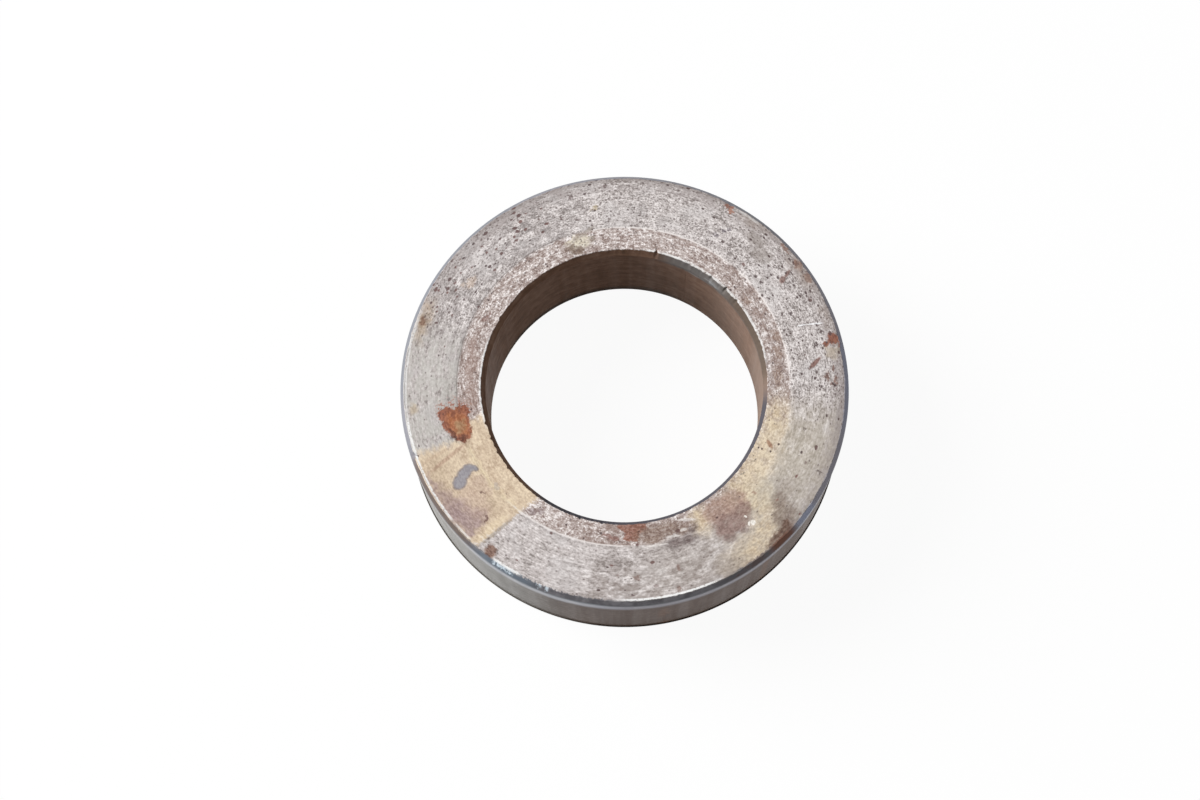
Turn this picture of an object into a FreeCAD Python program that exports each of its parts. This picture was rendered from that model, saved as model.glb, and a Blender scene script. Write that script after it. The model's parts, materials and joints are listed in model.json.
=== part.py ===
import FreeCAD, Part
import math
import os

# Axle bearing retainer: one turned steel ring, pressed onto an axle against its bearing.
# The bore runs along Z, and the origin is the centre of the face that the ring lies on.
# All sizes are in millimetres.

bore_diameter = 35.0
wall_thickness = 10.7    # from the bore out to the outer wall
width = 15.0

# Both rims of the outer wall: a chamfer whose foot is blended into the wall
outer_chamfer_inset = 0.55    # from the wall in to the rim of the flat face
outer_chamfer_depth = 0.55    # from the face down to where the bare chamfer would meet the wall
outer_blend_radius = 0.60

# Lead-in at both ends of the bore, so that the ring starts straight on the axle
lead_in_inset = 0.55
lead_in_depth = 0.95

# Seat that the bearing's inner race has pressed into the upper face, round the bore
race_seat_breadth = 3.55    # from the bore out to the seat's edge
race_seat_depth = 0.05
race_seat_shoulder = 0.15    # radial width of the slope at the seat's edge


def section_point(radius, height):
    return FreeCAD.Vector(radius, 0, height)


def straight(start, end):
    return Part.LineSegment(start, end).toShape()


def blended_corner(before, corner, after, radius):
    # The arc that rounds a corner between two straight runs, as its start, middle and end
    back = (before - corner).normalize()
    onward = (after - corner).normalize()
    half_angle = back.getAngle(onward) / 2
    into_metal = (back + onward).normalize()
    setback = radius / math.tan(half_angle)
    centre = corner + into_metal * (radius / math.sin(half_angle))
    return corner + back * setback, centre - into_metal * radius, corner + onward * setback


def ring_section():
    # The half section, drawn from the lower bore edge outwards, up, and back in along the top
    bore = bore_diameter / 2
    bore_rim = bore + lead_in_inset
    wall = bore + wall_thickness
    rim = wall - outer_chamfer_inset
    seat = bore + race_seat_breadth
    seat_height = width - race_seat_depth

    low_rim = section_point(rim, 0)
    low_corner = section_point(wall, outer_chamfer_depth)
    high_corner = section_point(wall, width - outer_chamfer_depth)
    high_rim = section_point(rim, width)
    low_blend = blended_corner(low_rim, low_corner, high_corner, outer_blend_radius)
    high_blend = blended_corner(low_corner, high_corner, high_rim, outer_blend_radius)

    inner_run = [
        high_rim,
        section_point(seat + race_seat_shoulder, width),
        section_point(seat, seat_height),
        section_point(bore_rim, seat_height),
        section_point(bore, seat_height - lead_in_depth),
        section_point(bore, lead_in_depth),
        section_point(bore_rim, 0),
        low_rim,
    ]
    edges = [
        straight(low_rim, low_blend[0]),
        Part.Arc(*low_blend).toShape(),
        straight(low_blend[2], high_blend[0]),
        Part.Arc(*high_blend).toShape(),
        straight(high_blend[2], high_rim),
    ]
    edges += [straight(start, end) for start, end in zip(inner_run, inner_run[1:])]
    return Part.Face(Part.Wire(edges))


def retainer_ring():
    axis_point = FreeCAD.Vector(0, 0, 0)
    axis_direction = FreeCAD.Vector(0, 0, 1)
    return ring_section().revolve(axis_point, axis_direction, 360)


os.makedirs("parts", exist_ok=True)
ring = retainer_ring()
ring.exportStep("parts/retainer_ring.step")
print("retainer_ring", ring.ShapeType, "valid", ring.isValid(), "volume", round(ring.Volume, 1), "mm3")
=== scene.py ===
import json
import math

import bpy
import numpy as np
from mathutils import Matrix, Vector, noise


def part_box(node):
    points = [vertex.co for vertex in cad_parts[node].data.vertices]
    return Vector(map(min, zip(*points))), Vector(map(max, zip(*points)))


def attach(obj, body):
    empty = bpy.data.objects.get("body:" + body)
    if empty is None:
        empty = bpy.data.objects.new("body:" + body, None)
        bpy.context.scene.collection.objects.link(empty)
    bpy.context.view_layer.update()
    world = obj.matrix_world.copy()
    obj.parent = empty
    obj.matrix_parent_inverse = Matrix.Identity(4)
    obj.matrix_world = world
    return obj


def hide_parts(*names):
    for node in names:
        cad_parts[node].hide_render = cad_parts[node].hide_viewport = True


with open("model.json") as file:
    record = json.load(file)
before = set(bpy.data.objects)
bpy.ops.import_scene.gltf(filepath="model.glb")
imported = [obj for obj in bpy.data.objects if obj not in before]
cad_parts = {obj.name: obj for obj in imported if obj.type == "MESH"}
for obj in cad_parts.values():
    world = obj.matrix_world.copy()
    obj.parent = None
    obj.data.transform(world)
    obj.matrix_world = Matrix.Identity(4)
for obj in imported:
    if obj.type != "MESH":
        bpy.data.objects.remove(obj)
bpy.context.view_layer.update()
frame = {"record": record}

mm = 0.001
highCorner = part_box("retainer_ring")[1]
boreMount = next(mount for mount in frame["record"]["mounts"] if mount["name"] == "bore")

# The turned section, in mm, as the solid has it
ring = {
    "wall": highCorner.x / mm,
    "width": highCorner.z / mm,
    "bore": boreMount["dims"]["r_mm"],
    "chamfer": 0.55,
    "blend": 0.60,
    "leadInset": 0.55,
    "leadDepth": 0.95,
    "seatBreadth": 3.35,
    "seatDepth": 0.05,
    "seatShoulder": 0.30,    # wider than the solid's, worn to a soft step
    "seatDrift": (0.18, 120),    # the race sat this far off centre, in mm, towards this azimuth
    "turns": 900,    # faces round the ring
    "edgeSteps": (0, 0.05, 0.12, 0.24, 0.42),    # rows beside a rim of a flat face, measured in from it
    "faceStep": 0.235,    # between the other rows of a flat face
    "creaseAngle": 28,    # edges sharper than this stay crisp
}
rimRadius = ring["wall"] - ring["chamfer"]
boreRim = ring["bore"] + ring["leadInset"]
seatRadius = ring["bore"] + ring["seatBreadth"]
seatHeight = ring["width"] - ring["seatDepth"]


# Mesh of the ring

def between(start, end, count):
    # Points from start towards end, without the end itself
    share = np.arange(count) / count
    return [(start[0] + (end[0] - start[0]) * s, start[1] + (end[1] - start[1]) * s) for s in share]


def faceRun(outer, inner, height):
    # A flat run from one radius in to another, with closer points at its two rims
    near = np.array(ring["edgeSteps"])
    count = int(round((outer - near[-1] - inner - near[-1]) / ring["faceStep"]))
    radii = list(outer - near[:-1]) + list(np.linspace(outer - near[-1], inner + near[-1], count))
    radii += list(inner + near[:-1][::-1])
    return [(r, height) for r in radii]


def blendArc(towardsTop, count):
    # The small round between the chamfer and the wall, from the chamfer's side down to the wall
    setback = ring["blend"] * math.tan(math.radians(22.5))
    level = ring["width"] - ring["chamfer"] - setback
    points = []
    for k in range(count + 1):
        angle = math.radians(45 * (1 - k / count))
        radius = ring["wall"] - ring["blend"] * (1 - math.cos(angle))
        height = level + ring["blend"] * math.sin(angle)
        points.append((radius, height if towardsTop else ring["width"] - height))
    return points


def ringSection():
    # One closed section, from the upper outer rim inwards, down the bore, out below and up the wall
    upper = blendArc(True, 4)
    lower = blendArc(False, 3)[::-1]
    shoulderTop = (seatRadius + ring["seatShoulder"], ring["width"])
    boreTopEnd = (ring["bore"], seatHeight - ring["leadDepth"])
    boreLowEnd = (ring["bore"], ring["leadDepth"])
    seatRun = faceRun(seatRadius, boreRim, seatHeight)
    runs = {
        "face": faceRun(rimRadius, *shoulderTop)[:-4],    # the shoulder needs no closer points beside it
        "shoulder": between(shoulderTop, (seatRadius, seatHeight), 2),
        "seat": seatRun[:1] + seatRun[4:],
        "leadIn": between((boreRim, seatHeight), boreTopEnd, 4),
        "boreWall": between(boreTopEnd, boreLowEnd, 11),
        "lowLeadIn": between(boreLowEnd, (boreRim, 0), 3),
        "under": between((boreRim, 0), (rimRadius, 0), 12),
        "lowChamfer": between((rimRadius, 0), lower[0], 2),
        "lowBlend": lower[:-1],
        "outerWall": between(lower[-1], upper[-1], 13),
        "blend": upper[::-1][:-1],
        "chamfer": between(upper[0], (rimRadius, ring["width"]), 3),
    }
    points, zones = [], []
    for name, run in runs.items():
        points += run
        zones += [name] * len(run)
    return np.array(points), np.array(zones)


def aroundNoise(angles, radius, perMm, layer, octaves=1):
    # Smooth noise that closes on itself round the ring, about perMm waves a millimetre
    values = np.zeros(len(angles))
    for k, angle in enumerate(angles):
        spot = Vector((math.cos(angle), math.sin(angle), 0)) * radius * perMm
        spot.z = layer
        values[k] = noise.fractal(spot, 1.0, 2.0, octaves)
    return values


def bumpAt(angles, azimuth, halfWidth):
    # 1 at an azimuth in degrees, fading to 0 at halfWidth degrees to each side
    away = (np.degrees(angles) - azimuth + 180) % 360 - 180
    return np.clip(1 - np.abs(away) / halfWidth, 0, 1)


# Damage round the two upper rims, all in degrees and mm
rimDamage = {
    "outerWander": 0.08,
    "outerFine": 0.06,
    "boreWander": 0.06,
    "boreFine": 0.07,
    "chips": [(-160.9, 1.0, 0.16), (-124.8, 1.0, 0.09), (-122.5, 1.2, 0.10), (-112.6, 0.9, 0.10),
              (-101.0, 0.8, 0.08), (-76.0, 0.7, 0.10), (9.0, 1.6, 0.08), (60.2, 1.0, 0.14)],
    "notches": [(37.8, 0.9, 0.20), (44.5, 0.8, 0.42), (52.0, 1.0, 0.22), (76.7, 0.9, 0.42),
                (-99.0, 0.7, 0.16), (-108.0, 0.9, 0.2), (-164.0, 1.0, 0.18), (-157.5, 0.7, 0.16),
                (-151.0, 0.9, 0.14), (-143.5, 0.7, 0.18), (150.0, 1.2, 0.14)],
    "burrs": [(-150.5, 9.5), (-137.0, 3.0), (-120.5, 5.5), (-78.0, 10.0), (-57.0, 5.0), (178.0, 12.0)],
    "burrHeight": 0.045,
}

# How far each surface strays from true, in mm
waviness = {
    "faceRidge": 0.010,
    "faceFineRidge": 0.006,
    "face": 0.012,
    "chamfer": 0.012,
    "wall": 0.008,
    "bore": 0.006,
    "underside": 0.010,
}


def ringMesh():
    points, zones = ringSection()
    turns = ring["turns"]
    angles = np.arange(turns) / turns * 2 * np.pi
    radius = np.repeat(points[:, 0][:, None], turns, axis=1)
    height = np.repeat(points[:, 1][:, None], turns, axis=1)

    outerShift = rimDamage["outerWander"] * aroundNoise(angles, rimRadius, 0.45, 3.1, 3)
    outerShift += rimDamage["outerFine"] * aroundNoise(angles, rimRadius, 2.2, 8.7, 2)
    chipDepth = np.zeros(turns)
    for azimuth, halfWidth, depth in rimDamage["chips"]:
        chipDepth += depth * bumpAt(angles, azimuth, halfWidth) ** 0.7
    boreShift = rimDamage["boreWander"] * aroundNoise(angles, boreRim, 0.6, 5.5, 3)
    boreShift += rimDamage["boreFine"] * aroundNoise(angles, boreRim, 2.6, 1.9, 2)
    for azimuth, halfWidth, depth in rimDamage["notches"]:
        boreShift += depth * bumpAt(angles, azimuth, halfWidth)
    burr = np.zeros(turns)
    for azimuth, halfWidth in rimDamage["burrs"]:
        burr = np.maximum(burr, np.clip(bumpAt(angles, azimuth, halfWidth) * 3, 0, 1))
    burr *= np.clip(0.6 + 0.9 * aroundNoise(angles, rimRadius, 0.9, 12.3, 2), 0, 1.3)

    driftBy, driftTo = ring["seatDrift"]
    drift = driftBy * np.cos(angles - math.radians(driftTo))

    for i, zone in enumerate(zones):
        r0, z0 = points[i]
        fromRim, fromBore = rimRadius - r0, r0 - boreRim
        if zone in ("face", "shoulder", "seat"):
            nearRim = math.exp(-(fromRim / 0.45) ** 2)
            nearBore = math.exp(-(fromBore / 0.5) ** 2)
            radius[i] += (outerShift - chipDepth) * nearRim + boreShift * nearBore
            height[i] -= chipDepth * 0.45 * nearRim + np.clip(boreShift, 0, 1) * 0.25 * nearBore
            radius[i] += drift * math.exp(-((r0 - seatRadius) / 1.2) ** 2)
            height[i] += burr * rimDamage["burrHeight"] * math.exp(-(fromRim / 0.07) ** 2)
            ridge = waviness["faceRidge"] * noise.noise(Vector((r0 * 1.3, 0.4, 7.0)))
            ridge += waviness["faceFineRidge"] * noise.noise(Vector((r0 * 4.1, 2.4, 3.0)))
            wave = waviness["face"] * aroundNoise(angles, r0, 0.16, 20 + r0 * 0.16, 2)
            height[i] += (ridge + wave) * (1 - nearRim) * (1 - nearBore)
        elif zone in ("chamfer", "blend"):
            share = min(1, (ring["width"] - z0) / ring["chamfer"])
            radius[i] += (outerShift - chipDepth) * (1 - share)
            height[i] -= chipDepth * 0.3 * (1 - share)
            wave = waviness["chamfer"] * aroundNoise(angles, r0, 0.8, z0 * 2, 2)
            radius[i] += wave * math.sin(math.pi * share)
        elif zone == "leadIn":
            share = (seatHeight - z0) / ring["leadDepth"]
            radius[i] += boreShift * (1 - share)
            height[i] -= np.clip(boreShift, 0, 1) * 0.25 * (1 - share)
        elif zone == "outerWall":
            radius[i] += waviness["wall"] * aroundNoise(angles, r0, 0.2, z0 * 0.4, 2)
        elif zone == "boreWall":
            radius[i] += waviness["bore"] * aroundNoise(angles, r0, 0.3, 9 + z0 * 0.4, 2)
        elif zone == "under":
            inner = min(1, fromRim / 0.8) * min(1, fromBore / 0.8)
            wave = np.clip(aroundNoise(angles, r0, 0.2, 30 + r0 * 0.2, 2) + 0.5, 0, 1)
            height[i] += waviness["underside"] * inner * wave

    rows = len(points)
    vertices = np.stack([radius * np.cos(angles), radius * np.sin(angles), height], axis=-1) * mm
    i, j = np.meshgrid(np.arange(rows), np.arange(turns), indexing="ij")
    nextRow, nextTurn = (i + 1) % rows, (j + 1) % turns
    corners = [(i, j), (nextRow, j), (nextRow, nextTurn), (i, nextTurn)]
    faces = np.stack([row * turns + turn for row, turn in corners], -1)

    mesh = bpy.data.meshes.new("retainerRing")
    mesh.from_pydata(vertices.reshape(-1, 3).tolist(), [], faces.reshape(-1, 4).tolist())
    mesh.validate()
    mesh.update()
    return mesh


print("turning the ring")
mesh = ringMesh()
retainer = bpy.data.objects.new("retainer_ring_worn", mesh)
bpy.context.scene.collection.objects.link(retainer)
mesh.shade_smooth()
mesh.set_sharp_from_angle(angle=math.radians(ring["creaseAngle"]))
print("ring faces", len(mesh.polygons))
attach(retainer, "root")
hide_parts("retainer_ring")


# Shader maths

class Wire:
    # A value or colour that runs between nodes, so that plain sums write the nodes
    def __init__(self, finish, socket):
        self.finish = finish
        self.socket = socket

    def sum(self, operation, first, second):
        return self.finish.node("ShaderNodeMath", {"operation": operation}, {0: first, 1: second})

    def __add__(self, other):
        return self.sum("ADD", self, other)

    def __radd__(self, other):
        return self.sum("ADD", other, self)

    def __sub__(self, other):
        return self.sum("SUBTRACT", self, other)

    def __rsub__(self, other):
        return self.sum("SUBTRACT", other, self)

    def __mul__(self, other):
        return self.sum("MULTIPLY", self, other)

    def __rmul__(self, other):
        return self.sum("MULTIPLY", other, self)

    def most(self, other):
        return self.sum("MAXIMUM", self, other)

    def least(self, other):
        return self.sum("MINIMUM", self, other)

    def rise(self, start, end):
        # 0 at start, 1 at end and smooth between them, whichever of the two is higher
        return self.finish.node("ShaderNodeMapRange", {"interpolation_type": "SMOOTHSTEP", "clamp": False},
                                {"Value": self, "From Min": start, "From Max": end})

    def within(self, low, high, soft):
        return self.rise(low - soft, low + soft) * self.rise(high + soft, high - soft)

    def beside(self, output):
        # Another output of the same node
        return Wire(self.finish, self.socket.node.outputs[output])


class Finish:
    # The nodes of one material or of the world
    def __init__(self, owner):
        owner.use_nodes = True
        self.owner = owner
        self.tree = owner.node_tree
        self.tree.nodes.clear()

    def node(self, kind, settings=None, inputs=None, output=0):
        made = self.tree.nodes.new(kind)
        for name, value in (settings or {}).items():
            if name == "stops":
                ramp = made.color_ramp.elements
                while len(ramp) < len(value):
                    ramp.new(1)
                for stop, (place, colour) in zip(ramp, value):
                    stop.position, stop.color = place, (*colour, 1)
            else:
                setattr(made, name, value)
        for name, value in (inputs or {}).items():
            if isinstance(value, Wire):
                self.tree.links.new(value.socket, made.inputs[name])
            else:
                made.inputs[name].default_value = value
        return Wire(self, made.outputs[output]) if made.outputs else None

    def vector(self, operation, first, second=None, scale=None):
        inputs = {0: first}
        if second is not None:
            inputs[1] = second
        if scale is not None:
            inputs["Scale"] = scale
        output = "Value" if operation in ("LENGTH", "DOT_PRODUCT", "DISTANCE") else "Vector"
        return self.node("ShaderNodeVectorMath", {"operation": operation}, inputs, output)

    def mix(self, under, over, mask):
        # Lays one colour over another where the mask is 1
        under, over = [c if isinstance(c, Wire) else (*c, 1) for c in (under, over)]
        return self.node("ShaderNodeMix", {"data_type": "RGBA"}, {0: mask, 6: under, 7: over}, 2)

    def ramp(self, value, stops):
        return self.node("ShaderNodeValToRGB", {"stops": stops}, {0: value})

    def grain(self, where, scale, detail=3.0, roughness=0.55):
        # Noise about 0.5, mostly between 0.3 and 0.7
        return self.node("ShaderNodeTexNoise", {"noise_dimensions": "3D"},
                         {"Vector": where, "Scale": scale, "Detail": detail, "Roughness": roughness})

    def cells(self, where):
        # Distance to scattered points, with a random colour for each point beside it
        return self.node("ShaderNodeTexVoronoi", None, {"Vector": where, "Scale": 1.0})


def tone(red, green, blue):
    # A colour as it is read off a screen, 0 to 255, made linear
    shares = [c / 255 for c in (red, green, blue)]
    return tuple(c / 12.92 if c <= 0.04045 else ((c + 0.055) / 1.055) ** 2.4 for c in shares)


# Finish of the worn steel. Places on the ring are an azimuth in degrees, 0 to the right in the
# photo's view and -90 to the front, and a radius in mm.

steel = Finish(bpy.data.materials.new("wornSteel"))
place = steel.vector("SCALE", steel.node("ShaderNodeTexCoord", output="Object"), scale=1 / mm)
x = steel.node("ShaderNodeSeparateXYZ", None, {0: place})
y = x.beside(1)
z = x.beside(2)
flatPlace = steel.node("ShaderNodeCombineXYZ", None, {0: x, 1: y})
fromAxis = steel.vector("LENGTH", flatPlace)
azimuth = x.sum("ARCTAN2", y, x) * (180 / math.pi)
outward = steel.vector("NORMALIZE", flatPlace)
width = ring["width"]


def alongRing(across, aroundPerMm, acrossPerMm, layer=0.0, radius=24):
    # Coordinates that follow the ring, for grain drawn out along the turning
    turned = steel.vector("SCALE", outward, scale=radius * aroundPerMm)
    lift = steel.node("ShaderNodeCombineXYZ", None, {2: across * acrossPerMm + layer})
    return steel.vector("ADD", turned, lift)


def sector(start, end, soft):
    # 1 between two azimuths; an end past 180 goes on round from -180
    if end > 180:
        end = end - 360
        return azimuth.rise(start - soft, start + soft).most(azimuth.rise(end + soft, end - soft))
    return azimuth.within(start, end, soft)


speckle = steel.grain(alongRing(fromAxis, 2.4, 4.0), 1.0, 2, 0.6)
sparkle = steel.grain(alongRing(fromAxis, 4.6, 6.6, 15.0), 1.0, 1, 0.5)
mottle = steel.grain(alongRing(fromAxis, 0.65, 1.2, 3.0), 1.0, 4, 0.65)
cloud = steel.grain(place, 0.2, 2, 0.5)
turnMarks = steel.grain(alongRing(fromAxis, 0.09, 5.2, 6.0), 1.0, 3, 0.6)
warp = (steel.grain(place, 0.9, 4, 0.7) - 0.5) * 4
fineWarp = (steel.grain(place, 2.6, 3, 0.7) - 0.5) * 4
roughSide = sector(-8, 162, 8)    # the back and the right have the coarser surface
texture = 0.5 + (speckle - 0.5) + (mottle - 0.5) * 0.75 + (cloud - 0.5) * 0.4 + (turnMarks - 0.5) * 0.6
texture = texture + (sparkle - 0.5) * (roughSide * 0.9 + 0.15)

onTop = z.rise(width - 0.09, width - 0.04)

# The flat face
faceTone = steel.ramp(texture, [
    (0.26, tone(142, 134, 131)), (0.39, tone(182, 174, 171)), (0.5, tone(199, 191, 189)),
    (0.6, tone(211, 204, 202)), (0.76, tone(236, 230, 228))])
colour = steel.mix(faceTone, tone(180, 178, 171), sector(163, 204, 8) * mottle.rise(0.34, 0.58) * 0.6)
colour = steel.mix(colour, tone(174, 169, 168), cloud.rise(0.52, 0.66) * 0.30)
colour = steel.mix(colour, tone(156, 149, 148), sector(106, 166, 8) * mottle.rise(0.62, 0.42) * 0.36)
frontShade = sector(-99, -58, 7) * (0.25 + 0.75 * fromAxis.rise(22.0, 25.0))
colour = steel.mix(colour, tone(148, 136, 130), frontShade * mottle.rise(0.62, 0.40) * 0.65)
colour = steel.mix(colour, tone(178, 168, 154), sector(-60, -8, 8) * mottle.rise(0.64, 0.44) * 0.5)

# The bearing's seat round the bore, pinker and browner, with pale grains
driftBy, driftTo = ring["seatDrift"]
seatCentre = (driftBy * math.cos(math.radians(driftTo)), driftBy * math.sin(math.radians(driftTo)), 0)
fromSeat = steel.vector("LENGTH", steel.vector("SUBTRACT", flatPlace, seatCentre))
seatDraw = steel.grain(alongRing(fromAxis, 1.0, 3.6, 9.0), 1.0, 3, 0.65)
seatTexture = 0.5 + (speckle - 0.5) * 0.9 + (seatDraw - 0.5) * 1.2
seatTexture = seatTexture + (sparkle - 0.5) * 0.8 + (mottle - 0.5) * 0.75
seatPale = sector(56, 152, 12).most(sector(-128, -110, 4) * 1.8)
seatTexture = seatTexture + seatPale * 0.045
seatTone = steel.ramp(seatTexture, [
    (0.22, tone(130, 112, 106)), (0.38, tone(164, 148, 142)), (0.5, tone(182, 168, 163)),
    (0.62, tone(201, 190, 186)), (0.82, tone(244, 238, 236))])
seatBrown = mottle.rise(0.5, 0.38) * sector(-14, 40, 10).most(sector(-110, -90, 4)).most(0.35)
seatTone = steel.mix(seatTone, tone(158, 138, 130), seatBrown * 0.5)
inSeat = (fromSeat + warp * 0.08).rise(seatRadius + 0.20, seatRadius - 0.15)
colour = steel.mix(colour, seatTone, inSeat)

# Duller band just inside the outer rim, at the back and the right
rimShade = fromAxis.rise(25.6, 26.6) * mottle.rise(0.42, 0.58) * sector(-28, 160, 8)
colour = steel.mix(colour, tone(156, 146, 144), rimShade * 0.65)
edgeShade = (fromAxis + warp * 0.1).rise(26.3, 27.2) * sector(-70, -2, 5) * mottle.rise(0.28, 0.52)
edgeShadeFar = sector(-8, 132, 6).most(sector(-109, -92, 3))
edgeShade = edgeShade.most((fromAxis + fineWarp * 0.1).rise(26.9, 27.5) * edgeShadeFar)

# Straw tint across the face, left of the front
strawLeft = azimuth + (mottle - 0.5) * 9 + 6.5 * fromAxis.rise(21.6, 20.0)
strawRight = azimuth + 0.5 * (fromAxis - 18.3) + (speckle - 0.5) * 5 - 0.8 * fromAxis.rise(20.5, 18.5)
straw = strawLeft.rise(-162.5, -158.5) * strawRight.rise(-126.2, -128.2)
strawTexture = 0.5 + (texture - 0.5) * 0.8
strawTone = steel.ramp(strawTexture, [
    (0.26, tone(188, 165, 141)), (0.5, tone(214, 194, 169)), (0.76, tone(236, 218, 190))])
colour = steel.mix(colour, strawTone, straw * 0.94)
colour = steel.mix(colour, tone(134, 124, 120), edgeShade * 0.42)

# The seat's shoulder: a bright worn line, broken on the right, and a fine dark one at the back left
shoulder = (fromSeat + warp * 0.04).within(seatRadius - 0.06, seatRadius + 0.10, 0.10)
bright = (sector(-134, -90, 4) * 0.9).most(sector(58, 102, 5) * 0.95)
bright = bright.most(sector(2, 58, 4) * mottle.rise(0.36, 0.5) * 0.95)
colour = steel.mix(colour, tone(236, 230, 227), shoulder * bright)
colour = steel.mix(colour, tone(240, 223, 190), shoulder * straw * mottle.rise(0.4, 0.5) * 0.6)
darkLine = (fromSeat + warp * 0.02).within(seatRadius + 0.10, seatRadius + 0.18, 0.06) * sector(104, 190, 4)
colour = steel.mix(colour, tone(140, 128, 124), darkLine * 0.8)


def wobbly(scale, detail, reach):
    # The place on the ring, pushed about by noise, so that a plain oval gets a ragged edge; reach is in mm
    push = steel.node("ShaderNodeTexNoise", {"noise_dimensions": "3D"},
                      {"Vector": place, "Scale": scale, "Detail": detail, "Roughness": 0.65}, "Color")
    push = steel.vector("MULTIPLY", steel.vector("SUBTRACT", push, (0.5, 0.5, 0.5)), (reach, reach, 0))
    return steel.vector("ADD", place, push)


# What each kind of mark does to the steel: how soft and ragged its edge is, and what is left of the metal
markKinds = {
    "wash": {"soft": 1.50, "wobble": "broad", "patchy": 0.5, "deep": 0.5},
    "tint": {"soft": 0.95, "wobble": "broad", "patchy": 0.3, "deep": 0.5},
    "smudge": {"soft": 1.50, "wobble": "fine", "patchy": 0.5, "deep": 0.5},
    "patch": {"soft": 0.70, "wobble": "fine", "patchy": 0.3, "deep": 0.5},
    "stain": {"soft": 0.30, "wobble": "slight", "patchy": 0.0, "deep": 0.5},
    "dirt": {"soft": 0.55, "wobble": "fine", "patchy": 0.0, "deep": 0.5},
    "line": {"soft": 0.90, "wobble": "slight", "patchy": 0.0, "deep": 0.5},
    "rust": {"soft": 0.20, "wobble": "fine", "patchy": 0.0, "deep": 0.5},
    "rimRust": {"soft": 0.35, "wobble": "fine", "patchy": 0.0, "deep": 1.3},
    "streak": {"soft": 0.60, "wobble": "slight", "patchy": 0.0, "deep": 0.5},
    "grains": {"soft": 0.90, "wobble": "fine", "patchy": 1.0, "deep": 0.5},
    "bare": {"soft": 0.50, "wobble": "slight", "patchy": 0.0, "deep": 0.5},
    "scratch": {"soft": 0.60, "wobble": "none", "patchy": 0.0, "deep": 0.5},
}
wobblyPlaces = {
    "broad": wobbly(0.9, 4, 2.6),
    "fine": wobbly(1.6, 4, 1.5),
    "slight": wobbly(1.6, 3, 0.3),
    "none": place,
}

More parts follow.
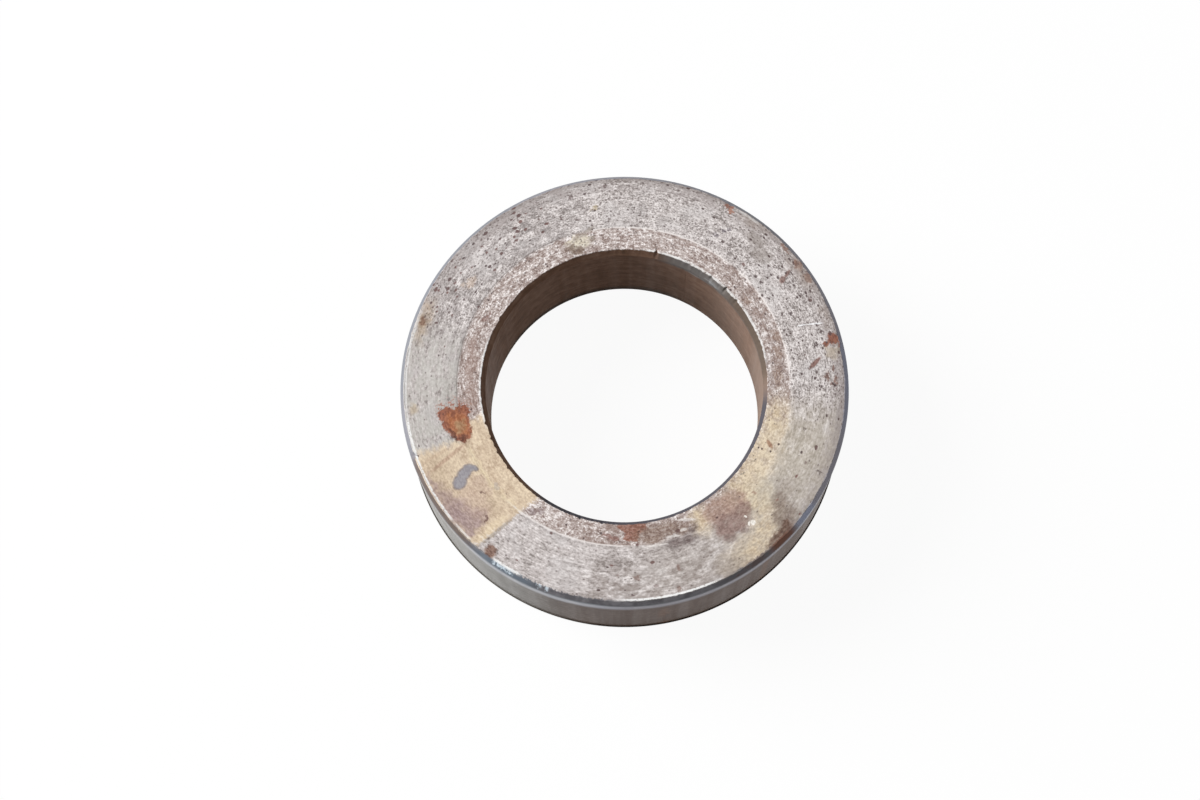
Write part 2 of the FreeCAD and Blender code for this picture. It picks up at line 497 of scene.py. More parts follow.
# Marks on the upper face: kind, strength, darker and lighter tone, then each lobe's azimuth, radius,
# half length, half breadth and its turn from the ring's own direction
faceMarks = [
    # straw tint at the front right, and the greyer face beside it
    ("wash", 0.95, (200, 180, 152), (230, 213, 184),
     [(-37.0, 19.6, 4.6, 2.3, 0), (-26.0, 19.3, 4.4, 2.2, 0), (-15.5, 19.4, 3.4, 1.9, 0),
      (-62.0, 19.9, 1.3, 2.0, 8)]),
    ("wash", 0.70, (214, 197, 173), (238, 222, 198),
     [(-27.0, 19.3, 3.4, 1.4, 0), (-37.5, 19.4, 1.6, 1.0, 0)]),
    ("wash", 0.90, (194, 174, 148), (226, 209, 180),
     [(-53.5, 26.2, 4.0, 1.9, 0), (-46.8, 25.2, 2.3, 2.1, -20), (-43.0, 22.4, 2.2, 3.4, -10)]),
    ("wash", 0.50, (186, 176, 158), (206, 198, 182),
     [(-24.0, 23.4, 6.5, 3.6, 0), (-38.0, 22.0, 2.6, 2.4, 0)]),
    ("wash", 0.75, (148, 136, 126), (174, 162, 152),
     [(-34.2, 24.1, 1.5, 1.2, 0), (-61.0, 26.4, 2.2, 0.9, 0)]),
    ("wash", 0.40, (168, 158, 150), (190, 182, 174),
     [(-72.0, 24.0, 6.0, 3.6, 0), (-30.0, 26.0, 4.0, 1.6, 0)]),
    # brighter yellow along the seat's shoulder, then mauve heat marks on the straw
    ("tint", 0.45, (226, 206, 172), (240, 224, 192),
     [(-148.0, 20.9, 4.2, 0.36, 0), (-136.5, 20.7, 2.6, 0.30, 0)]),
    ("tint", 0.50, (228, 208, 176), (240, 224, 194), [(-131.6, 25.0, 2.6, 0.6, 97)]),
    ("wash", 0.75, (174, 154, 132), (202, 182, 158),
     [(-155.0, 25.7, 2.4, 1.9, 0), (-150.8, 26.0, 1.9, 1.2, 0), (-136.2, 22.9, 1.2, 1.4, 0)]),
    ("tint", 0.85, (150, 128, 124), (176, 154, 148),
     [(-145.0, 26.6, 2.8, 1.2, 0), (-149.5, 27.1, 2.6, 0.6, 0)]),
    ("patch", 0.85, (148, 126, 126), (178, 156, 156),
     [(-139.8, 26.1, 2.6, 1.7, 0), (-136.9, 25.2, 1.3, 1.7, 0), (-135.4, 26.9, 0.8, 0.6, 0)]),
    ("tint", 0.50, (176, 150, 138), (198, 174, 160),
     [(-141.0, 23.9, 2.8, 1.6, 0), (-144.0, 22.0, 1.8, 1.0, 0)]),
    ("stain", 0.72, (118, 112, 118), (138, 132, 138),
     [(-148.5, 24.0, 1.10, 0.92, 55), (-150.1, 23.0, 1.10, 0.82, 75), (-150.9, 22.2, 0.86, 0.66, 110),
      (-150.1, 21.55, 0.60, 0.42, 150)]),
    ("stain", 0.92, (150, 146, 152), (164, 161, 166),
     [(-148.5, 24.0, 0.90, 0.72, 55), (-150.1, 23.0, 0.92, 0.62, 75), (-150.9, 22.2, 0.68, 0.46, 110),
      (-150.1, 21.55, 0.42, 0.24, 150)]),
    # dark lines at both sides of the straw band
    ("line", 0.62, (160, 130, 112), (190, 160, 140), [(-156.9, 23.8, 3.1, 0.30, 72)]),
    ("line", 0.36, (172, 144, 122), (196, 170, 148), [(-158.9, 24.9, 2.1, 0.26, 78)]),
    ("line", 0.55, (140, 130, 122), (164, 154, 146), [(-130.0, 24.6, 2.6, 0.24, 100)]),
    # rust left of the bore, with its yellow core, its dark tip and loose grains at the upper edge
    ("rust", 0.94, (126, 76, 60), (168, 108, 84),
     [(-170.4, 22.6, 0.95, 1.2, 0), (-170.4, 20.7, 0.9, 1.0, 0), (-167.0, 21.6, 1.8, 1.75, 0),
      (-163.4, 21.1, 1.35, 1.25, 0), (-161.3, 21.2, 0.6, 0.5, 0)]),
    ("grains", 0.85, (124, 76, 62), (160, 102, 82),
     [(-172.6, 21.6, 1.3, 1.5, 0), (-172.0, 19.9, 0.9, 0.8, 0), (-172.6, 23.2, 0.8, 0.7, 0)]),
    ("tint", 0.85, (172, 108, 72), (194, 132, 94),
     [(-167.0, 21.6, 1.7, 1.25, 0), (-164.2, 21.0, 0.9, 0.8, 0)]),
    ("tint", 0.80, (162, 132, 100), (184, 156, 124), [(-165.3, 21.3, 0.95, 0.70, 0)]),
    ("dirt", 0.80, (84, 58, 52), (118, 80, 68),
     [(-161.1, 21.3, 0.52, 0.42, 0), (-163.0, 22.3, 1.0, 0.26, -20)]),
    ("dirt", 0.60, (104, 66, 60), (130, 84, 72),
     [(-170.0, 21.7, 0.5, 0.3, 0), (-171.4, 22.2, 0.3, 0.2, 0)]),
    # spots along the left and front
    ("dirt", 0.88, (112, 82, 70), (146, 114, 98), [(-127.8, 27.0, 0.84, 0.88, 0)]),
    ("tint", 0.75, (170, 152, 132), (196, 180, 158), [(-173.2, 26.7, 0.78, 0.70, 0)]),
    ("dirt", 0.90, (70, 58, 54), (96, 80, 74), [(-160.9, 27.5, 0.42, 0.35, 0)]),
    ("dirt", 0.75, (110, 84, 78), (134, 106, 98),
     [(-134.9, 24.3, 0.42, 0.20, 60), (-141.6, 22.5, 0.24, 0.14, -20), (-136.2, 20.45, 0.22, 0.14, 0)]),
    ("dirt", 0.45, (160, 150, 148), (176, 168, 166), [(-140.3, 20.6, 0.6, 0.3, 0)]),
    ("dirt", 0.60, (120, 100, 102), (150, 132, 132),
     [(-125.0, 19.9, 0.6, 0.5, 0), (-122.8, 19.3, 0.5, 0.3, 0)]),
    # rust and dirt along the bore at the front
    ("rust", 0.80, (126, 80, 64), (158, 106, 86),
     [(-86.6, 18.4, 1.7, 0.8, 0), (-87.6, 19.6, 1.0, 0.8, 0), (-90.5, 18.3, 0.9, 0.4, 0)]),
    ("dirt", 0.66, (126, 88, 80), (156, 118, 108),
     [(-96.0, 19.6, 0.8, 0.34, 10), (-93.4, 19.9, 0.5, 0.3, 0)]),
    ("patch", 0.72, (120, 96, 84), (154, 132, 118),
     [(-80.5, 19.6, 2.2, 1.3, 0), (-74.5, 19.3, 2.0, 1.0, 0), (-69.5, 19.8, 1.4, 0.7, 0)]),
    ("smudge", 0.90, (96, 82, 80), (132, 117, 114),
     [(-73.0, 21.2, 1.4, 1.0, 0), (-68.6, 21.3, 1.3, 0.8, 0), (-65.8, 20.4, 1.0, 0.5, -30)]),
    ("dirt", 0.66, (116, 90, 80), (144, 116, 106),
     [(-86.9, 24.8, 0.46, 0.34, 0), (-75.9, 27.0, 0.26, 0.46, 0), (-74.6, 24.4, 0.32, 0.44, 0)]),
    ("bare", 0.60, (226, 220, 216), (242, 238, 234),
     [(-80.0, 21.0, 1.6, 0.12, 0), (-73.0, 20.4, 1.0, 0.14, 10), (-66.5, 19.0, 1.2, 0.18, 20),
      (-69.0, 20.0, 0.5, 0.2, 0)]),
    # mauve brown patch at the front right, with its ragged upper end and a painted glint on bare steel
    ("patch", 0.85, (158, 130, 117), (184, 156, 142),
     [(-55.0, 19.8, 2.2, 1.5, 0), (-49.8, 20.1, 2.2, 1.5, 0), (-46.6, 20.3, 1.1, 1.2, 0)]),
    ("patch", 0.88, (132, 106, 98), (160, 134, 126),
     [(-55.8, 22.1, 1.7, 1.8, 0), (-51.8, 22.3, 1.9, 1.6, 0), (-48.3, 21.8, 1.2, 1.1, 0)]),
    ("tint", 0.50, (116, 96, 92), (136, 112, 106),
     [(-57.0, 23.5, 0.9, 0.5, 0), (-52.3, 23.8, 0.5, 0.45, 0), (-46.6, 20.4, 0.45, 0.5, 0)]),
    # painted glint: a small white highlight on bare steel
    ("bare", 0.95, (228, 222, 212), (250, 246, 240),
     [(-48.5, 23.8, 0.30, 0.36, 20), (-49.0, 22.6, 0.16, 0.22, 0), (-49.6, 23.6, 0.3, 0.12, -40)]),
    ("patch", 0.78, (116, 100, 90), (146, 130, 120),
     [(-40.8, 25.9, 1.9, 1.4, 0), (-38.5, 24.3, 1.2, 1.0, -30)]),
    ("patch", 0.95, (98, 76, 66), (126, 102, 90),
     [(-45.4, 27.3, 2.4, 0.75, 0), (-42.6, 26.9, 0.8, 0.7, 0)]),
    ("dirt", 0.50, (146, 104, 92), (166, 124, 110),
     [(-38.3, 24.0, 0.25, 0.18, 0), (-41.2, 21.3, 0.2, 0.2, 0)]),
    ("streak", 0.75, (140, 96, 74), (168, 124, 98), [(-23.5, 19.67, 0.66, 0.24, -55)]),
    ("dirt", 0.65, (74, 62, 58), (110, 96, 90),
     [(-25.5, 26.65, 0.2, 0.34, 0), (-14.7, 23.3, 0.4, 0.08, 60), (-31.5, 18.9, 0.5, 0.1, 30),
      (-38.0, 18.7, 0.34, 0.1, 50)]),
    # the right
    ("rimRust", 0.92, (118, 72, 58), (152, 100, 80),
     [(12.6, 27.0, 0.80, 0.8, 0), (11.4, 27.8, 1.1, 0.42, 0), (11.3, 26.0, 0.40, 0.55, 0)]),
    ("tint", 0.75, (172, 158, 142), (194, 181, 165), [(8.9, 26.4, 0.9, 0.95, 0)]),
    ("streak", 0.85, (112, 76, 68), (142, 102, 92), [(6.3, 24.1, 1.15, 0.26, 50)]),
    ("dirt", 0.72, (110, 78, 66), (142, 106, 92),
     [(2.1, 25.5, 0.75, 0.36, 0), (1.0, 26.6, 0.5, 0.26, 0), (4.2, 26.3, 0.4, 0.2, 0),
      (-0.2, 26.0, 0.25, 0.25, 0)]),
    ("patch", 0.55, (142, 116, 100), (164, 138, 122),
     [(17.6, 20.2, 1.0, 0.55, 0), (35.2, 19.1, 0.7, 0.45, 0), (3.0, 19.3, 1.4, 0.6, 0),
      (12.0, 19.8, 1.0, 0.5, 0)]),
    ("scratch", 0.95, (240, 238, 240), (252, 252, 253),
     [(18.85, 23.75, 0.62, 0.10, 99), (18.05, 25.4, 1.05, 0.12, 103)]),
    ("streak", 0.80, (110, 78, 70), (142, 108, 98),
     [(34.3, 24.4, 0.55, 0.40, 60), (35.0, 25.4, 0.7, 0.24, 68), (36.3, 27.1, 0.3, 0.3, 0)]),
    ("dirt", 0.70, (118, 84, 72), (150, 114, 98),
     [(30.9, 27.2, 0.8, 0.5, 0), (35.2, 27.2, 0.9, 0.5, 0), (41.0, 27.3, 0.9, 0.22, 0)]),
    ("wash", 0.42, (146, 130, 118), (170, 154, 142),
     [(33.5, 26.8, 3.0, 0.9, 0), (52.5, 27.1, 2.6, 0.6, 0), (19.5, 27.0, 1.8, 0.6, 0)]),
    ("rimRust", 0.84, (140, 98, 84), (172, 126, 108),
     [(60.3, 27.5, 0.66, 0.44, 0), (59.4, 27.0, 0.42, 0.5, 0)]),
    ("dirt", 0.70, (86, 78, 88), (120, 110, 116),
     [(57.8, 24.1, 0.5, 0.22, 0), (59.4, 23.1, 0.4, 0.22, 20), (56.6, 24.6, 0.2, 0.18, 0)]),
    ("tint", 0.70, (136, 126, 120), (158, 148, 142),
     [(44.7, 24.6, 1.6, 1.1, 0), (49.0, 25.6, 1.8, 0.9, 0)]),
    ("dirt", 0.85, (78, 64, 64), (100, 84, 82),
     [(15.4, 25.83, 0.24, 0.22, 0), (11.7, 24.8, 0.26, 0.2, 0), (23.5, 23.0, 0.2, 0.17, 0),
      (-0.2, 26.07, 0.2, 0.2, 0), (-1.1, 24.7, 0.22, 0.2, 0)]),
    # the back and the left
    ("dirt", 0.70, (92, 76, 74), (122, 104, 102),
     [(105.1, 26.1, 0.36, 0.3, 0), (95.1, 26.85, 0.26, 0.3, 0), (94.8, 22.1, 0.3, 0.24, 0),
      (109.7, 23.6, 0.26, 0.14, 20), (104.7, 22.9, 0.3, 0.12, 0)]),
    ("tint", 0.60, (190, 172, 134), (208, 190, 152), [(99.1, 24.0, 0.50, 0.4, 0)]),
    ("tint", 0.90, (208, 198, 178), (228, 220, 203),
     [(106.9, 19.8, 1.4, 1.0, 0), (110.6, 20.2, 0.5, 0.3, 0)]),
    ("patch", 0.95, (114, 96, 84), (142, 124, 112),
     [(108.2, 18.8, 1.1, 0.6, 0), (110.3, 19.4, 0.7, 0.5, 0)]),
    ("dirt", 0.55, (136, 124, 112), (164, 152, 140),
     [(104.5, 20.8, 1.9, 0.32, -22), (101.6, 19.9, 0.5, 0.4, 0)]),
    ("wash", 0.86, (174, 154, 132), (196, 176, 154), [(161.3, 26.7, 2.8, 1.0, 0)]),
    ("patch", 0.95, (120, 94, 80), (148, 120, 104), [(161.5, 26.8, 0.8, 0.45, 0)]),
    ("tint", 0.50, (176, 150, 128), (192, 168, 146),
     [(144.8, 23.7, 0.9, 0.42, 0), (147.0, 24.5, 0.5, 0.4, 0)]),
    ("dirt", 0.70, (112, 80, 72), (140, 104, 94),
     [(153.3, 19.7, 0.5, 0.3, 0), (151.5, 19.4, 0.4, 0.2, 0)]),
    ("patch", 0.55, (148, 122, 112), (168, 144, 134),
     [(172.0, 19.4, 2.4, 0.9, 0), (184.0, 19.2, 2.2, 0.8, 0), (165.0, 19.9, 1.3, 0.6, 0)]),
]


def markMask(kind, lobes):
    # Nearest of the lobes, with an edge that is soft or ragged as its kind says
    nearest = None
    below = (width - z) * (1 / kind["deep"])
    for turnedTo, radius, halfLength, halfBreadth, turn in lobes:
        angle = math.radians(turnedTo)
        centre = (radius * math.cos(angle), radius * math.sin(angle), width)
        lie = angle + math.pi / 2 - math.radians(turn)
        along = (math.cos(lie) / halfLength, math.sin(lie) / halfLength, 0)
        across = (-math.sin(lie) / halfBreadth, math.cos(lie) / halfBreadth, 0)
        offset = steel.vector("SUBTRACT", wobblyPlaces[kind["wobble"]], centre)
        local = steel.node("ShaderNodeCombineXYZ", None, {
            0: steel.vector("DOT_PRODUCT", offset, along),
            1: steel.vector("DOT_PRODUCT", offset, across),
            2: below})
        away = steel.vector("LENGTH", local)
        nearest = away if nearest is None else nearest.least(away)
    return nearest.rise(1.0 + kind["soft"] * 0.4, 1.0 - kind["soft"] * 0.6)


markGrain = speckle.rise(0.36, 0.64)
for name, strength, dark, light, lobes in faceMarks:
    kind = markKinds[name]
    mask = markMask(kind, lobes) * strength
    if kind["patchy"]:
        holes = speckle.rise(0.60, 0.50) if name == "grains" else mottle.rise(0.56, 0.36)
        mask = mask * (1 - kind["patchy"] * holes)
    colour = steel.mix(colour, steel.mix(tone(*dark), tone(*light), markGrain), mask)

# Small pits, drawn out along the turning, thick on the right and brown at the back left
pitCells = steel.cells(alongRing(fromAxis, 1.35, 2.1, 1.5))
pitDraw = steel.node("ShaderNodeSeparateColor", None, {0: pitCells.beside("Color")})
pitChance = 0.06 + 0.66 * sector(-3, 40, 5) * fromAxis.within(21.2, 27.1, 0.4)
pitChance = pitChance + 0.22 * sector(40, 150, 6) * cloud.rise(0.42, 0.58)
pitSize = 0.13 + 0.20 * pitDraw.beside(1)
blackPits = (pitSize - pitCells + fineWarp * 0.03).rise(-0.05, 0.07)
blackPits = blackPits * pitDraw.rise(1.0 - pitChance, 1.02 - pitChance)
colour = steel.mix(colour, tone(88, 72, 71), blackPits * 0.88 * (1 - straw))

tinyCells = steel.cells(alongRing(fromAxis, 2.5, 3.7, 21.5))
tinyDraw = steel.node("ShaderNodeSeparateColor", None, {0: tinyCells.beside("Color")})
tinyChance = 0.06 + 0.42 * roughSide
tinyPits = (0.20 + 0.18 * tinyDraw.beside(1) - tinyCells).rise(-0.10, 0.08)
tinyPits = tinyPits * tinyDraw.rise(1.0 - tinyChance, 1.03 - tinyChance)
colour = steel.mix(colour, tone(104, 90, 88), tinyPits * 0.66 * (1 - straw))

brownCells = steel.cells(alongRing(fromAxis, 1.15, 1.7, 8.5))
brownDraw = steel.node("ShaderNodeSeparateColor", None, {0: brownCells.beside("Color")})
brownChance = 0.03 + 0.55 * sector(112, 158, 6) * fromAxis.within(22.4, 27.6, 0.6)
brownChance = brownChance + 0.28 * sector(-12, 14, 3) * fromAxis.rise(25.2, 26.0)
brownSize = 0.14 + 0.26 * brownDraw.beside(1)
brownPits = (brownSize - brownCells + fineWarp * 0.10).rise(-0.08, 0.08)
brownPits = brownPits * brownDraw.rise(1.0 - brownChance, 1.02 - brownChance)
onStraw = straw.most(sector(-66, -12, 4) * fromAxis.rise(22.4, 21.4))
brownTone = steel.mix(tone(92, 74, 74), tone(126, 94, 88), brownDraw.beside(2))
colour = steel.mix(colour, brownTone, brownPits * 0.88 * (1 - onStraw))

# Rims knocked bright: a bare burr along the outer one and a pale fringe round the bore, both painted partly
# as the glint they catch
burrPlace = fromAxis + fineWarp * 0.05
burrRim = burrPlace.rise(rimRadius - 0.36, rimRadius - 0.24)
burrRim = burrRim * burrPlace.rise(rimRadius + 0.06, rimRadius - 0.08)
rimBurrGlint = (sector(-171, -141, 1.5) * 0.85).most(sector(-139.5, -134, 1) * 0.5)
rimBurrGlint = rimBurrGlint.most(sector(-126, -118, 1) * 0.9).most(sector(-91, -66, 3))
rimBurrGlint = rimBurrGlint.most(sector(160, 189, 5) * 0.5).most(sector(51, 58, 1.5) * 0.35)
burr = burrRim * rimBurrGlint * fineWarp.rise(-0.75, -0.15)
boreFringeGlint = burrPlace.rise(boreRim + 0.30, boreRim + 0.14) * sector(10, 82, 4).most(sector(160, 196, 5))
burr = burr.most(boreFringeGlint * fineWarp.rise(-0.7, 0.1) * 0.75)
# painted glint over bare burrs and fringe, near white
colour = steel.mix(colour, tone(244, 244, 243), burr)

# Outer chamfer: blue-grey, browner or bluer here and there. Each patch has its tone, its sector and the
# sector's softness, its strength, and whether it is broken up
chamferPatches = [
    ((152, 149, 158), (-42, 44, 5), 0.95, False),
    ((142, 142, 149), (40, 205, 12), 0.85, False),
    ((112, 98, 90), (-160, -134, 3), 0.85, False),
    ((108, 120, 132), (-131, -114, 3), 0.7, False),
    ((96, 78, 74), (-64, -50, 3), 0.7, True),
    ((120, 80, 62), (-49.5, -41.8, 1.5), 0.85, False),
    # painted highlight: a blue-white line where the chamfer catches the light
    ((160, 168, 192), (-40.5, -33.5, 1), 0.6, False),
    ((146, 150, 168), (-12, 12, 4), 0.7, False),
    ((128, 130, 136), (122, 182, 6), 0.85, False),
]
chamferTone = steel.mix(tone(100, 98, 102), tone(124, 122, 126), mottle.rise(0.36, 0.62))
for shade, reach, strength, patchy in chamferPatches:
    cover = sector(*reach)
    if patchy:
        cover = cover * mottle.rise(0.4, 0.56)
    chamferTone = steel.mix(chamferTone, tone(*shade), cover * strength)
# painted highlight: the chamfer's lower part is paler where it rounds into the wall
footHighlight = (sector(150, 230, 4) * 0.6).most(sector(-134, -94, 4) * 0.9).most(sector(-94, -40, 4) * 0.35)
chamferTone = steel.mix(chamferTone, tone(158, 163, 170), z.rise(width - 0.40, width - 0.66) * footHighlight)
# painted reflection: blue-white flats where chips flattened the chamfer
chips = sector(-125.8, -119.8, 0.5).most(sector(-113.2, -111.9, 0.4)).most(sector(-110.7, -109.9, 0.3))
chips = chips * (z + fineWarp * 0.3).rise(width - 0.36, width - 0.24) * fineWarp.rise(-0.5, 0.1)
chamferTone = steel.mix(chamferTone, tone(225, 238, 248), chips * 0.7)

# Outer wall: a pale blue-grey band under the chamfer, partly burnished and partly a painted reflection of
# the rounded edge, brown-grey below, paler to the left
wallDraw = steel.grain(alongRing(z, 0.06, 3.4, 2.0), 1.0, 3, 0.6)
wallStreak = steel.grain(alongRing(z, 0.5, 0.10, 12.0), 1.0, 4, 0.7)
wallSpeck = steel.grain(alongRing(z, 1.8, 2.6, 33.0), 1.0, 4, 0.7)
wallTexture = 0.5 + (wallDraw - 0.5) * 0.45 + (wallStreak - 0.5) * 0.35
wallTexture = wallTexture + (wallSpeck - 0.5) * 0.75 + (cloud - 0.5) * 0.3
wallTone = steel.ramp(wallTexture, [
    (0.28, tone(82, 65, 57)), (0.5, tone(103, 85, 76)), (0.72, tone(127, 110, 101))])
wallGrey = steel.ramp(wallTexture, [
    (0.28, tone(132, 129, 124)), (0.5, tone(151, 149, 145)), (0.72, tone(168, 166, 163))])
wallTone = steel.mix(wallTone, tone(84, 66, 56), (0.25 + 0.35 * z.rise(7.5, 2.5)) * sector(-97, -52, 6))
wallTone = steel.mix(wallTone, wallGrey, sector(-26, 150, 10) * 0.5)
wallTone = steel.mix(wallTone, wallGrey, sector(140, 248, 17))
# painted light: the wall's lowest edge, which faces the floor, is made paler
wallTone = steel.mix(wallTone, tone(186, 180, 173), z.rise(0.85, 0.5) * 0.6)
wallRust = sector(-81.5, -78.5, 0.8).most(sector(-52.5, -50.5, 0.6)) * wallStreak.rise(0.36, 0.5)
wallTone = steel.mix(wallTone, tone(134, 96, 72), wallRust * z.rise(width - 1, width - 3) * 0.32)
# painted sheen, partly burnished steel: the pale band under the chamfer
burnishSheenTone = steel.mix(tone(160, 163, 176), tone(178, 181, 190), sector(-140, -99, 5))
burnishSheenBand = (z + (mottle - 0.5) * 1.0).rise(width - 3.3, width - 1.7) * z.rise(width - 0.56, width - 0.86)
wallTone = steel.mix(wallTone, steel.mix(burnishSheenTone, tone(170, 165, 161), sector(140, 226, 6)),
                     burnishSheenBand * (0.8 - 0.22 * sector(-92, -40, 5)) * (1 - 0.45 * sector(-20, 165, 8)))

isOuter = fromAxis.rise(rimRadius - 0.9, rimRadius - 0.8)
isWall = z.rise(width - 0.60, width - 0.88)
isSide = isOuter * (1 - onTop)
# The chamfer's dark tone eats into the face's rim at the front
worn = (fromAxis + fineWarp * 0.12).rise(rimRadius - 0.10, rimRadius) * sector(-141, 14, 4) * 0.7
wornRight = (fromAxis + fineWarp * 0.20).rise(rimRadius - 0.26, rimRadius - 0.10) * sector(-61, -43, 2)
wornLeft = (fromAxis + fineWarp * 0.34).rise(rimRadius - 0.16, rimRadius - 0.06) * sector(-119, -92, 3)
worn = worn.most(wornRight * 0.9).most(wornLeft)
colour = steel.mix(colour, steel.mix(chamferTone, wallTone, isWall), isSide.most(worn * isOuter))

# Bore: dark brown, blue-grey where the lead-in starts, with pale scrapes
boreDraw = steel.grain(alongRing(z, 0.25, 2.0, 4.0, 17.5), 1.0, 3, 0.6)
boreMottle = steel.grain(place, 0.8, 3, 0.6)
boreTone = steel.ramp(0.5 + (boreDraw - 0.5) * 0.8 + (boreMottle - 0.5) * 0.8,
                      [(0.3, tone(112, 87, 70)), (0.5, tone(128, 100, 83)), (0.7, tone(144, 117, 100))])
boreFront = (sector(-90, 22, 10) * 0.75).most(sector(20, 52, 10) * 0.35)
boreTone = steel.mix(boreTone, tone(142, 124, 113), boreFront)
boreTop = (z + (boreMottle - 0.5) * 1.2).rise(width - 2.0, width - 1.2)
boreTop = boreTop * sector(36, 74, 6).most(sector(10, 40, 5) * 0.45)
boreTone = steel.mix(boreTone, tone(112, 113, 113), boreTop * 0.8)
boreTone = steel.mix(boreTone, tone(84, 82, 88), z.rise(width - 1.5, width - 0.9) * sector(-128, -4, 6))
boreTone = steel.mix(boreTone, tone(98, 86, 76), z.rise(width - 2.2, width - 1.0) * sector(2, 42, 6) * 0.85)
# painted shade: the back of the bore darkens towards its foot
boreTone = steel.mix(boreTone, tone(52, 37, 28), z.rise(2.8, 1.4) * sector(66, 150, 10) * 0.92)
scrapes = boreDraw.rise(0.5, 0.6) * sector(48, 60, 4)
scrapes = scrapes * (z + (mottle - 0.5)).within(width - 2.2, width - 0.7, 0.4)
boreTone = steel.mix(boreTone, tone(176, 180, 184), scrapes * 0.7)
specks = fineWarp.rise(0.5, 0.8) * sector(60, 74, 4) * z.within(2.2, 4.4, 0.8)
boreTone = steel.mix(boreTone, tone(170, 160, 150), specks * 0.6)
isBore = fromAxis.rise(boreRim + 0.75, boreRim + 0.65) * z.rise(seatHeight - 0.04, seatHeight - 0.12)
colour = steel.mix(colour, boreTone, isBore)

# On the faces only the clean, pale steel is a little metallic. The wall is smoother and more metallic, most
# of all in its band under the chamfer, which is partly burnished and partly painted sheen
clean = colour.rise(0.15, 0.50)
metal = clean * 0.16 * (1 - isSide.most(isBore)) + isBore * 0.07 + isSide * (0.2 + burnishSheenBand * 0.4)
roughness = 0.72 - clean * 0.14 - isSide * 0.22 + (mottle - 0.5) * 0.4 - burr * 0.15
relief = (speckle - 0.5) * 0.5 + (turnMarks - 0.5) * 0.8 - blackPits * 1.2 - brownPits * 0.9
bump = steel.node("ShaderNodeBump", None, {"Strength": 0.7, "Distance": 0.02 * mm, "Height": relief})
shader = steel.node("ShaderNodeBsdfPrincipled", None, {
    "Base Color": colour,
    "Metallic": metal,
    "Roughness": roughness,
    "Normal": bump,
    "Specular IOR Level": 0.06,
})
steel.node("ShaderNodeOutputMaterial", None, {"Surface": shader})
mesh.materials.append(steel.owner)
print("steel nodes", len(steel.tree.nodes))


# Floor, light and camera

def seenDirectly(finish):
    # 1 where the camera looks, also by a reflection
    path = finish.node("ShaderNodeLightPath", output="Is Camera Ray")
    return path.most(path.beside("Is Glossy Ray")).most(path.beside("Is Transmission Ray"))


# The paper that the ring lies on: half its side in m, its shade where it is seen and where it is not,
# and how much of it is plain white, which leaves the rest to show the ring's shadow
paperSettings = {"reach": 1.5, "shade": 1.0, "shadeUnseen": 0.35, "plain": 0.94}

# Strength of the white world: soft light for the ring, plain white for the camera
worldSettings = {"unseen": 0.22, "seen": 1.0}


def makeFloor():
    half = paperSettings["reach"]
    mesh = bpy.data.meshes.new("floor")
    corners = [(-half, -half, 0), (half, -half, 0), (half, half, 0), (-half, half, 0)]
    mesh.from_pydata(corners, [], [(0, 1, 2, 3)])
    floor = bpy.data.objects.new("floor", mesh)
    bpy.context.scene.collection.objects.link(floor)
    paper = Finish(bpy.data.materials.new("paperWhite"))
    seen = seenDirectly(paper)
    shades = [(paperSettings[name],) * 3 for name in ("shadeUnseen", "shade")]
    lit = paper.node("ShaderNodeBsdfDiffuse", None, {"Color": paper.mix(*shades, seen)})
    plain = paper.node("ShaderNodeEmission", None, {"Color": (1, 1, 1, 1), "Strength": 1.0})
    both = paper.node("ShaderNodeMixShader", None, {0: seen * paperSettings["plain"], 1: lit, 2: plain})
    paper.node("ShaderNodeOutputMaterial", None, {"Surface": both})
    mesh.materials.append(paper.owner)


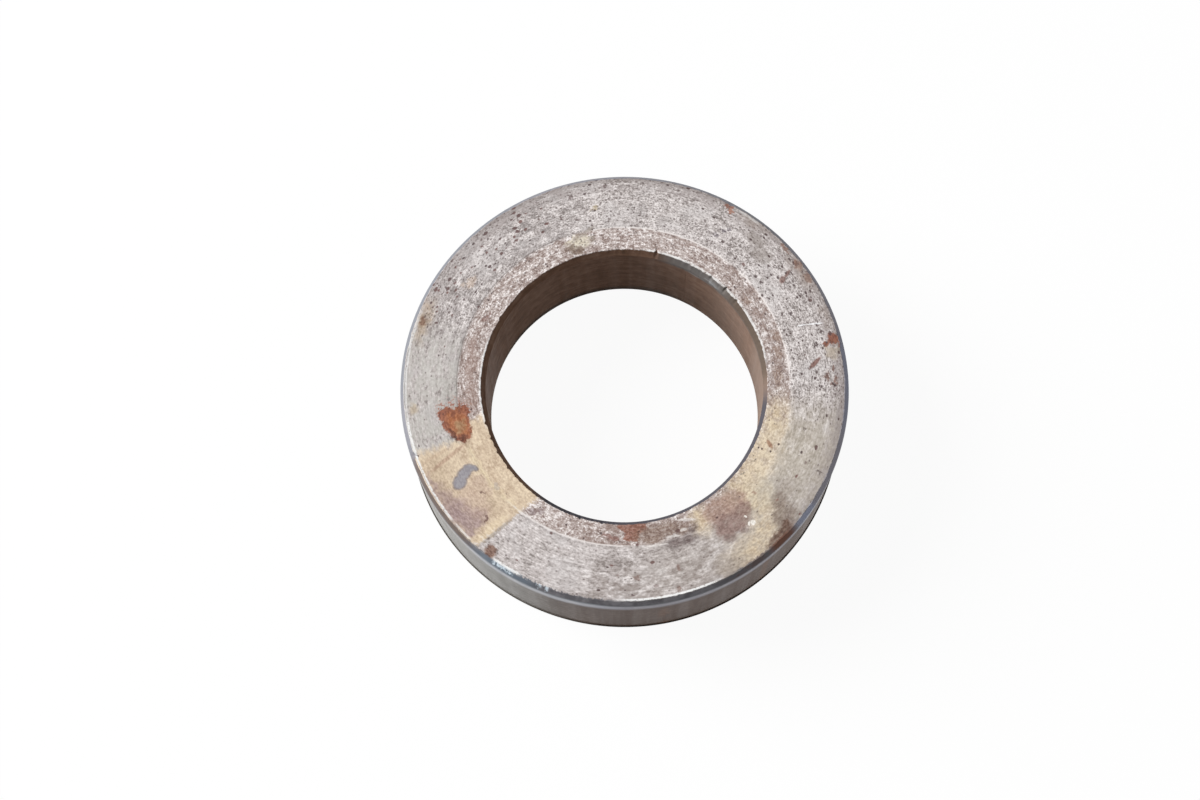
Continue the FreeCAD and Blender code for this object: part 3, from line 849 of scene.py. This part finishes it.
def makeWorld():
    world = bpy.data.worlds.new("studio")
    bpy.context.scene.world = world
    sky = Finish(world)
    white = (1, 1, 1, 1)
    soft = sky.node("ShaderNodeBackground", None, {"Color": white, "Strength": worldSettings["unseen"]})
    plain = sky.node("ShaderNodeBackground", None, {"Color": white, "Strength": worldSettings["seen"]})
    both = sky.node("ShaderNodeMixShader", None, {0: seenDirectly(sky), 1: soft, 2: plain})
    sky.node("ShaderNodeOutputWorld", None, {"Surface": both})


# Round soft lamps: the azimuth and elevation they stand at in degrees, distance and size in m
lamps = {
    "keyLamp": {"azimuth": 162, "elevation": 32, "away": 1.6, "size": 1.1, "watts": 38.5},
    "fillLamp": {"azimuth": -25, "elevation": 30, "away": 1.6, "size": 0.9, "watts": 1.5},
}


def makeLamp(name):
    side, up = math.radians(lamps[name]["azimuth"]), math.radians(lamps[name]["elevation"])
    toLamp = Vector((math.cos(side) * math.cos(up), math.sin(side) * math.cos(up), math.sin(up)))
    spot = toLamp * lamps[name]["away"]
    lamp = bpy.data.lights.new(name, "AREA")
    lamp.shape = "DISK"
    lamp.size = lamps[name]["size"]
    lamp.energy = lamps[name]["watts"]
    holder = bpy.data.objects.new(name, lamp)
    holder.location = spot
    holder.rotation_euler = (-spot).to_track_quat("-Z", "Y").to_euler()
    bpy.context.scene.collection.objects.link(holder)


# Where the photo was taken from, as degrees above the floor, round to the side and of roll
camera = {
    "place": (-0.064 * mm, -80.188 * mm, 283.948 * mm),
    "elevation": 73.784,
    "turn": 2.190,
    "roll": -2.395,
    "lens": 67.096,
    "sensor": 36,
}


def makeCamera():
    data = bpy.data.cameras.new("camera")
    data.lens = camera["lens"]
    data.sensor_width = camera["sensor"]
    data.clip_start, data.clip_end = 0.01, 10
    holder = bpy.data.objects.new("camera", data)
    tilt = Matrix.Rotation(math.radians(90 - camera["elevation"]), 4, "X")
    turn = Matrix.Rotation(math.radians(camera["turn"]), 4, "Z")
    roll = Matrix.Rotation(math.radians(camera["roll"]), 4, "Z")
    holder.matrix_world = Matrix.Translation(camera["place"]) @ turn @ tilt @ roll
    bpy.context.scene.collection.objects.link(holder)
    bpy.context.scene.camera = holder


print("setting the floor, lamps and camera")
makeFloor()
makeWorld()
for name in lamps:
    makeLamp(name)
makeCamera()
bpy.context.scene.view_settings.view_transform = "Standard"
